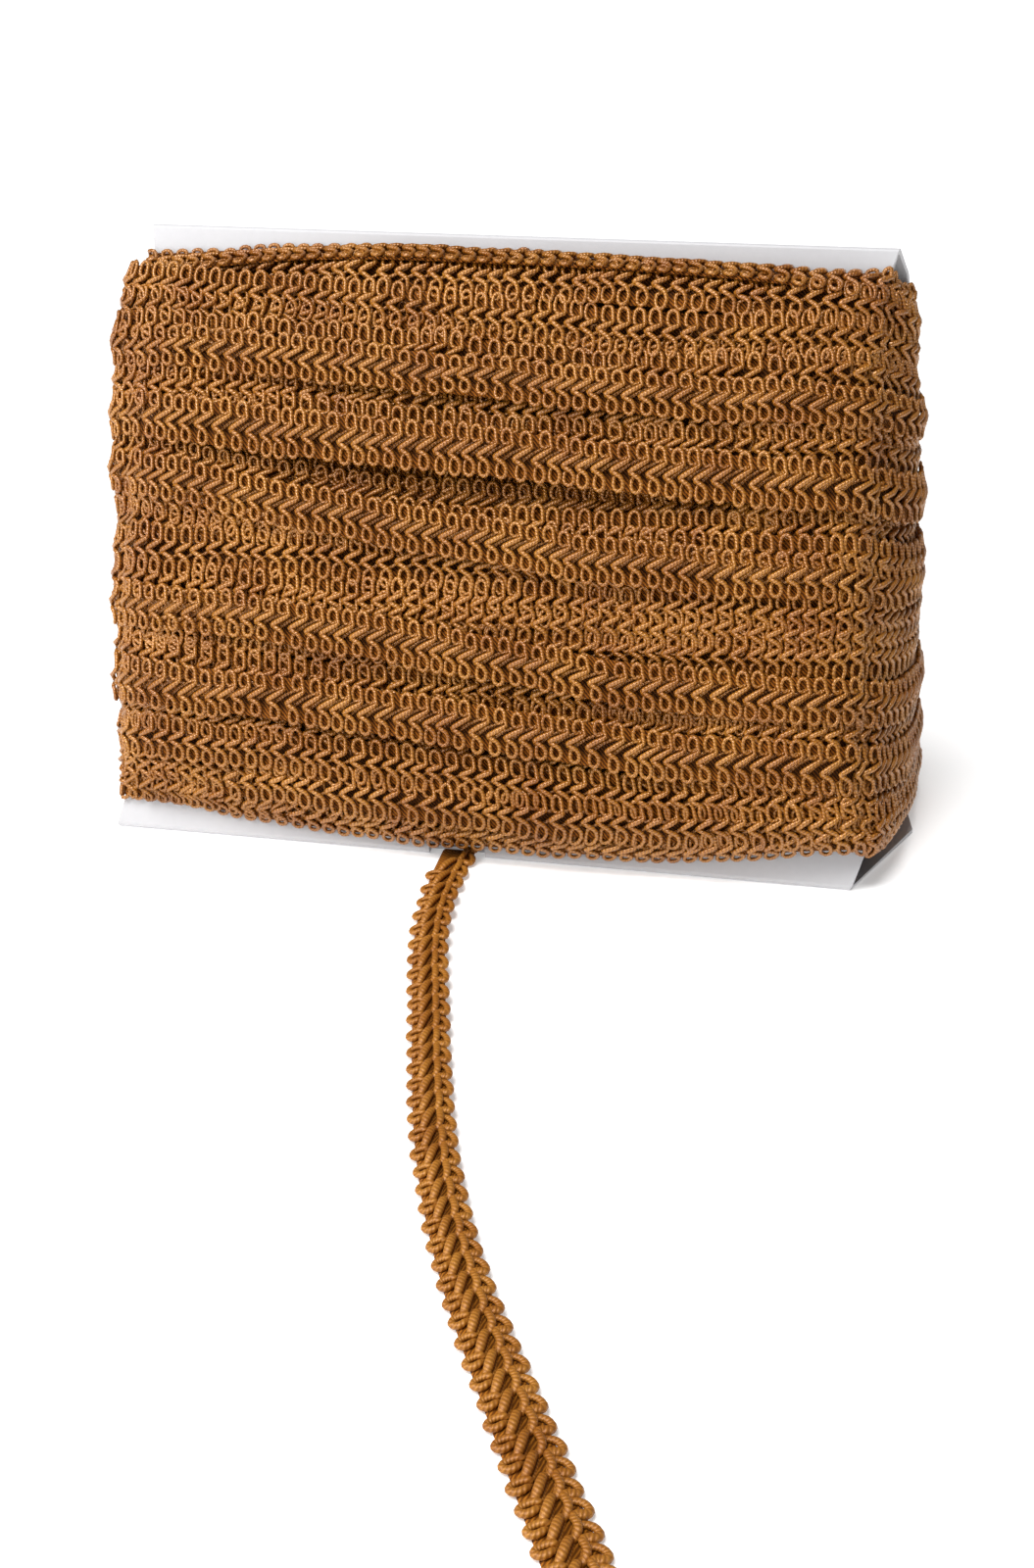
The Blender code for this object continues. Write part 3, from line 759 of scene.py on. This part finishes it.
def wound_pieces(look, thread_look):
    """The wound trim, the trim of the layer under it, and the inner threads of all their turns."""
    strips = [wound_strip(turn) for turn in TURNS]
    deeper = [wound_strip(turn) for turn in UNDER_TURNS]
    pieces = turn_pieces("wound_trim", TURNS, strips, WOUND_POINTS, WOUND_SEED, look)
    pieces += turn_pieces("wound_under_trim", UNDER_TURNS, deeper, UNDER_POINTS, UNDER_SEED, look)
    threads = [wound_ground(strip) for strip in strips + deeper]
    pieces.append(joined("wound_ground", threads, thread_look))
    return pieces


def wound_shade_core(look):
    """A dark sheet inside the winding, painted shade that shows only between the turns."""
    way = places_round(CORE_PLACES)
    low = turn_heights(PILLOW_LOW, FALL[0], way) + CORE_EDGE
    high = turn_heights(PILLOW_HIGH, FALL[1], way) - CORE_EDGE
    rings = []
    for row in range(CORE_ROWS + 1):
        z = low + (high - low) * row / CORE_ROWS
        rings.append(on_sleeve(way, z, np.maximum(pillow(way, z) - CORE_DEPTH, CORE_CLEAR)))
    for row in range(CORE_INNER_ROWS + 1):
        z = high + (low - high) * row / CORE_INNER_ROWS
        rings.append(on_sleeve(way, z, np.full_like(z, CORE_INSIDE)))
    size, count = len(way), len(rings)
    here = np.arange(count)[:, None] * size
    after = (np.arange(count)[:, None] + 1) % count * size
    place, next_place = np.arange(size), (np.arange(size) + 1) % size
    faces = np.stack([here + place, here + next_place, after + next_place, after + place], -1)
    mesh = mesh_from("wound_shade_core", np.vstack(rings), faces.reshape(-1, 4))
    return link("wound_shade_core", mesh, look, "gimp_trim")


# The loose end


def loose_line():
    """The loose end's middle line, directions across and out, widths, and length."""
    rows = np.array(TRIM_ROUTE)
    fine = fine_rows(np.vstack([2 * rows[0] - rows[1], rows, 2 * rows[-1] - rows[-2]]), ROUTE_STEPS)
    run = np.concatenate([[0], np.cumsum(np.linalg.norm(np.diff(fine[:, :3], axis=0), axis=1))])
    reads = np.linspace(0, run[-1], LOOSE_ROWS)
    right, back, height, widths, rolls = (np.interp(reads, run, column) for column in fine.T)
    rolls = np.radians(rolls)
    height += LOOSE_LIFT * MM + widths / 2 * np.sin(rolls)
    middle = np.stack([right, back, height], -1)
    along = np.gradient(middle, axis=0)
    along /= np.linalg.norm(along, axis=1, keepdims=True)
    side = np.cross((0.0, 0.0, 1.0), along)
    side /= np.linalg.norm(side, axis=1, keepdims=True)
    up = np.cross(along, side)
    across = side * np.cos(rolls)[:, None] + up * np.sin(rolls)[:, None]
    return middle, across, np.cross(along, across), widths, run[-1]


def loose_cord(line, look):
    """The cord of the braid's free end, lying on the floor."""
    middle, across, out, widths, total = line
    repeats = round(total / (LOOSE_PITCH * MM)) - 1
    counts = [LOOSE_POINTS] * repeats
    share, over, proud, thick, length = braid_points(
        LOOSE_REPEAT, LOOSE_PITCH, counts, LOOSE_SEED, LOOSE_ROUGH)
    run = np.linspace(0, total, len(middle))
    level = (share - LOOSE_START) / (repeats + LOOSE_EXTRA)
    level = level + LOOSE_STRETCH * (level - level**2)
    spot = np.clip(level * total, LOOSE_CUT[0], total - LOOSE_CUT[1])

    def read(values):
        return np.stack([np.interp(spot, run, values[:, c]) for c in range(3)], -1)

    scale = (np.interp(spot, run, widths) / MM - 2 * LOOSE_RADIUS) / LOOSE_SPAN
    face = read(out)
    points = read(middle) + read(across) * (over * MM * scale)[:, None]
    points += face * (proud * MM * LOOSE_PROUD)[:, None]
    points[:, 2] = np.maximum(points[:, 2], LOOSE_RADIUS * LOOSE_FLAT * MM + LOOSE_CLEAR)
    rings, faces, kept = tube(points, face, thick * LOOSE_RADIUS * MM, LOOSE_SIDES, closed=False)
    rings[:, 2] += (np.repeat(points[:, 2], LOOSE_SIDES) - rings[:, 2]) * (1 - LOOSE_FLAT)
    mesh = mesh_from("loose_trim", rings, faces, cord_uvs(kept, length, LOOSE_SIDES))
    cap_ends(mesh)
    return link("loose_trim", mesh, look, "gimp_trim")


def loose_ribbon(line, look):
    """The inner threads of the braid's free end."""
    middle, across, out, widths, total = line
    columns, depths = np.array(LOOSE_RIBBON).T
    wide = (widths / MM / BRAID_WIDTH)[:, None, None]
    sheet = middle[:, None] + across[:, None] * (columns[:, None] * MM) * wide
    sheet = sheet + out[:, None] * (depths[:, None] * MM)
    sheet = sheet[::2]
    faces, uvs = ribbon(columns, len(sheet), total / len(sheet) / MM, closed=False)
    mesh = mesh_from("loose_ground", sheet.reshape(-1, 3), faces, uvs)
    return link("loose_ground", mesh, look, "gimp_trim")


def cap_ends(mesh):
    """Closes a tube's open ends."""
    shape = bmesh.new()
    shape.from_mesh(mesh)
    open_edges = [edge for edge in shape.edges if edge.is_boundary]
    bmesh.ops.holes_fill(shape, edges=open_edges, sides=0)
    bmesh.ops.recalc_face_normals(shape, faces=shape.faces)
    shape.to_mesh(mesh)
    shape.free()


# Materials


def new_look(name):
    """A new material, its node tree and its Principled shader."""
    look = bpy.data.materials.new(name)
    look.use_nodes = True
    return look, look.node_tree, look.node_tree.nodes["Principled BSDF"]


def blotches(tree, scale, detail):
    """Soft random blotches that stay with the object."""
    place = tree.nodes.new("ShaderNodeTexCoord")
    blotch = tree.nodes.new("ShaderNodeTexNoise")
    blotch.inputs["Scale"].default_value = scale
    blotch.inputs["Detail"].default_value = detail
    tree.links.new(place.outputs["Object"], blotch.inputs["Vector"])
    return blotch.outputs["Fac"]


def along_cord(tree):
    """The texture coordinates of cords and ribbons."""
    uv = tree.nodes.new("ShaderNodeUVMap")
    uv.uv_map = "along"
    return uv.outputs["UV"]


def slanting_threads(tree, place, scale, distortion, detail, detail_scale):
    """Slanting bands of fine threads."""
    threads = tree.nodes.new("ShaderNodeTexWave")
    threads.wave_type = "BANDS"
    threads.bands_direction = "DIAGONAL"
    threads.inputs["Scale"].default_value = scale
    threads.inputs["Distortion"].default_value = distortion
    threads.inputs["Detail"].default_value = detail
    threads.inputs["Detail Scale"].default_value = detail_scale
    tree.links.new(place, threads.inputs["Vector"])
    return threads.outputs["Fac"]


def toned(tree, share, low, high, ends=(0.0, 1.0)):
    """Colours that go from low to high where a share goes from one of the ends to the other."""
    tone = tree.nodes.new("ShaderNodeValToRGB")
    for stop, colour, position in zip(tone.color_ramp.elements, (low, high), ends):
        stop.position = position
        stop.color = colour
    tree.links.new(share, tone.inputs["Fac"])
    return tone.outputs["Color"]


def darkened(tree, colour, by, factor):
    """A colour multiplied by another one, to this degree."""
    shade = tree.nodes.new("ShaderNodeMix")
    shade.data_type = "RGBA"
    shade.blend_type = "MULTIPLY"
    shade.inputs["Factor"].default_value = factor
    tree.links.new(colour, shade.inputs[6])
    tree.links.new(by, shade.inputs[7])
    return shade.outputs[2]


def add_relief(tree, shader, height, strength, distance):
    """A fine relief on a shader."""
    bump = tree.nodes.new("ShaderNodeBump")
    bump.inputs["Strength"].default_value = strength
    bump.inputs["Distance"].default_value = distance
    tree.links.new(height, bump.inputs["Height"])
    tree.links.new(bump.outputs["Normal"], shader.inputs["Normal"])


def gimp_look(name, stripes, relief, roughness, gloss, coat):
    """Twisted rayon gimp cord: golden brown, silky along its fine wrapped threads, with painted shade
    darkening the grooves between them.
    """
    look, tree, shader = new_look(name)
    spread = tree.nodes.new("ShaderNodeMapping")
    spread.inputs["Scale"].default_value = THREAD_SCALE
    tree.links.new(along_cord(tree), spread.inputs["Vector"])
    place = spread.outputs["Vector"]
    threads = slanting_threads(tree, place, scale=1.0, distortion=0.4, detail=1.0, detail_scale=1.0)
    tone = toned(tree, blotches(tree, scale=90.0, detail=3.0), *GIMP_TONES, ends=(0.32, 0.68))
    # painted shade: the grooves between the wrapped threads are darkened, to the degree given by stripes
    dark = toned(tree, threads, (0.46, 0.32, 0.18, 1.0), (1.0, 1.0, 1.0, 1.0))
    tree.links.new(darkened(tree, tone, dark, stripes), shader.inputs["Base Color"])
    add_relief(tree, shader, threads, strength=relief, distance=0.00013)
    shader.inputs["Metallic"].default_value = 0.16
    shader.inputs["Roughness"].default_value = roughness
    shader.inputs["Specular IOR Level"].default_value = gloss
    shader.inputs["Specular Tint"].default_value = (1.0, 0.91, 0.79, 1.0)
    shader.inputs["Coat Weight"].default_value = coat
    shader.inputs["Coat Roughness"].default_value = 0.26
    shader.inputs["Coat Tint"].default_value = (1.0, 0.96, 0.90, 1.0)
    shader.inputs["Sheen Weight"].default_value = 0.06
    shader.inputs["Sheen Roughness"].default_value = 0.35
    shader.inputs["Sheen Tint"].default_value = (1.0, 0.60, 0.30, 1.0)
    return look


def middle_shade(tree, place, middle):
    """Painted shade: a share that is lower along the middle of the braid and 1 under its loops."""
    parts = tree.nodes.new("ShaderNodeSeparateXYZ")
    tree.links.new(place, parts.inputs["Vector"])
    outer = tree.nodes.new("ShaderNodeMath")
    outer.operation = "ABSOLUTE"
    tree.links.new(parts.outputs["Y"], outer.inputs[0])
    zone = tree.nodes.new("ShaderNodeMapRange")
    zone.inputs["From Min"].default_value = 1.6
    zone.inputs["From Max"].default_value = 3.0
    zone.inputs["To Min"].default_value = middle
    zone.inputs["To Max"].default_value = 1.0
    tree.links.new(outer.outputs[0], zone.inputs["Value"])
    return zone.outputs["Result"]


def ground_look(name, dark, light, middle):
    """The braid's inner threads, a close reddish brown rib, with painted shade: its darkest tones and its
    darker middle stand for the shade between and under the loops.
    """
    look, tree, shader = new_look(name)
    place = along_cord(tree)
    threads = slanting_threads(tree, place, scale=0.62, distortion=1.5, detail=2.0, detail_scale=1.5)
    tone = toned(tree, threads, dark, light)
    # painted shade: the ribbon is darkened along the braid's middle
    shade = darkened(tree, tone, middle_shade(tree, place, middle), factor=1.0)
    tree.links.new(shade, shader.inputs["Base Color"])
    add_relief(tree, shader, threads, strength=0.8, distance=0.0003)
    shader.inputs["Roughness"].default_value = 0.6
    shader.inputs["Specular IOR Level"].default_value = 0.15
    return look


def core_shade_look():
    """Painted shade: the deep shade between the turns, in dark browns."""
    look, tree, shader = new_look("gimp_core_painted_shade")
    blotch = blotches(tree, scale=300.0, detail=2.0)
    tone = toned(tree, blotch, (0.035, 0.010, 0.003, 1.0), (0.12, 0.04, 0.010, 1.0))
    tree.links.new(tone, shader.inputs["Base Color"])
    shader.inputs["Roughness"].default_value = 0.8
    shader.inputs["Specular IOR Level"].default_value = 0.1
    return look


def card_look():
    """Smooth white card with a faint pulp mottle."""
    look, tree, shader = new_look("coated_card")
    pulp = blotches(tree, scale=700.0, detail=4.0)
    tone = toned(tree, pulp, (0.515, 0.511, 0.525, 1.0), (0.555, 0.551, 0.565, 1.0))
    tree.links.new(tone, shader.inputs["Base Color"])
    add_relief(tree, shader, pulp, strength=0.08, distance=0.0001)
    shader.inputs["Roughness"].default_value = 0.4
    return look


def floor_look():
    """The plain pale floor, lit a little from beneath, which softens the shadows on it."""
    look, _, shader = new_look("pale_floor")
    shader.inputs["Base Color"].default_value = (0.93, 0.93, 0.93, 1.0)
    shader.inputs["Emission Color"].default_value = (1.0, 1.0, 1.0, 1.0)
    shader.inputs["Emission Strength"].default_value = 0.32
    shader.inputs["Roughness"].default_value = 0.9
    shader.inputs["Specular IOR Level"].default_value = 0.1
    return look


# Stage, lights and camera


def make_floor(look):
    """A plain pale floor."""
    points = [(x, y, 0.0) for x in (-FLOOR_HALF, FLOOR_HALF) for y in (-FLOOR_HALF, FLOOR_HALF)]
    mesh = mesh_from("floor", np.array(points), np.array([(0, 2, 3, 1)]))
    link("floor", mesh, look)


def sun_light(name, place, power, softness):
    """A wide soft light from far away, in the direction of a place seen from the origin."""
    data = bpy.data.lights.new(name, "SUN")
    data.energy = power
    data.angle = math.radians(softness)
    lamp = bpy.data.objects.new(name, data)
    lamp.location = place
    lamp.rotation_euler = (-Vector(place)).to_track_quat("-Z", "Y").to_euler()
    bpy.context.collection.objects.link(lamp)


def area_light(name, place, aim, size, power):
    """A soft square light that faces a point and isn't seen itself."""
    data = bpy.data.lights.new(name, "AREA")
    data.size = size
    data.energy = power
    lamp = bpy.data.objects.new(name, data)
    lamp.location = place
    lamp.rotation_euler = (Vector(aim) - Vector(place)).to_track_quat("-Z", "Y").to_euler()
    lamp.visible_camera = False
    bpy.context.collection.objects.link(lamp)


def make_world():
    """An even white glow from all round."""
    world = bpy.data.worlds.new("studio")
    world.use_nodes = True
    background = world.node_tree.nodes["Background"]
    background.inputs["Color"].default_value = (1.0, 1.0, 1.0, 1.0)
    background.inputs["Strength"].default_value = 0.21
    bpy.context.scene.world = world


def make_camera():
    """The camera at the photograph's viewing angle."""
    data = bpy.data.cameras.new("camera")
    data.lens = LENS
    data.sensor_width = 36.0
    data.sensor_fit = "AUTO"
    data.clip_start = 0.01
    camera = bpy.data.objects.new("camera", data)
    camera.location = CAMERA_PLACE
    ahead = Vector((
        -math.sin(CAMERA_LEFT) * math.cos(CAMERA_DOWN),
        math.cos(CAMERA_LEFT) * math.cos(CAMERA_DOWN),
        -math.sin(CAMERA_DOWN),
    ))
    camera.rotation_euler = ahead.to_track_quat("-Z", "Y").to_euler()
    bpy.context.collection.objects.link(camera)
    bpy.context.scene.camera = camera


make_camera()
gimp = gimp_look("gimp_cord", stripes=0.72, relief=0.6, roughness=0.30, gloss=1.0, coat=0.13)
loose_gimp = gimp_look("loose_gimp_cord", stripes=0.58, relief=0.5, roughness=0.48, gloss=0.7, coat=0.03)
# The wound copy of the inner threads is darker than the loose one: painted shade between the turns of the
# winding
ground = ground_look(
    "wound_threads_painted_shade", dark=(0.060, 0.015, 0.001, 1.0), light=(0.36, 0.112, 0.008, 1.0), middle=0.40)
loose_ground = ground_look(
    "loose_threads_painted_shade", dark=(0.12, 0.034, 0.002, 1.0), light=(0.42, 0.145, 0.012, 1.0), middle=0.75)
trim_line = loose_line()
trim = loose_cord(trim_line, loose_gimp)
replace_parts(loose_ribbon(trim_line, loose_ground), "loose_end")
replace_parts(trim, "loose_end")
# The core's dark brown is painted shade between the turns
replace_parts(wound_shade_core(core_shade_look()), "winding")
for wound in wound_pieces(gimp, ground):
    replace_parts(wound, "winding")

card = frame["nodes"]["card"]
card.data.materials.clear()
card.data.materials.append(card_look())

make_floor(floor_look())
sun_light("top_light", place=(-0.15, -0.24, 1.0), power=2.5, softness=26.0)
area_light("front_light", place=(-0.85, -1.3, 0.36), aim=(0.0, 0.0, 0.03), size=0.6, power=4.8)
area_light("side_light", place=(-0.42, -0.30, 0.44), aim=(-0.03, 0.0, 0.06), size=0.3, power=2.45)
make_world()
bpy.context.scene.view_settings.view_transform = "Standard"
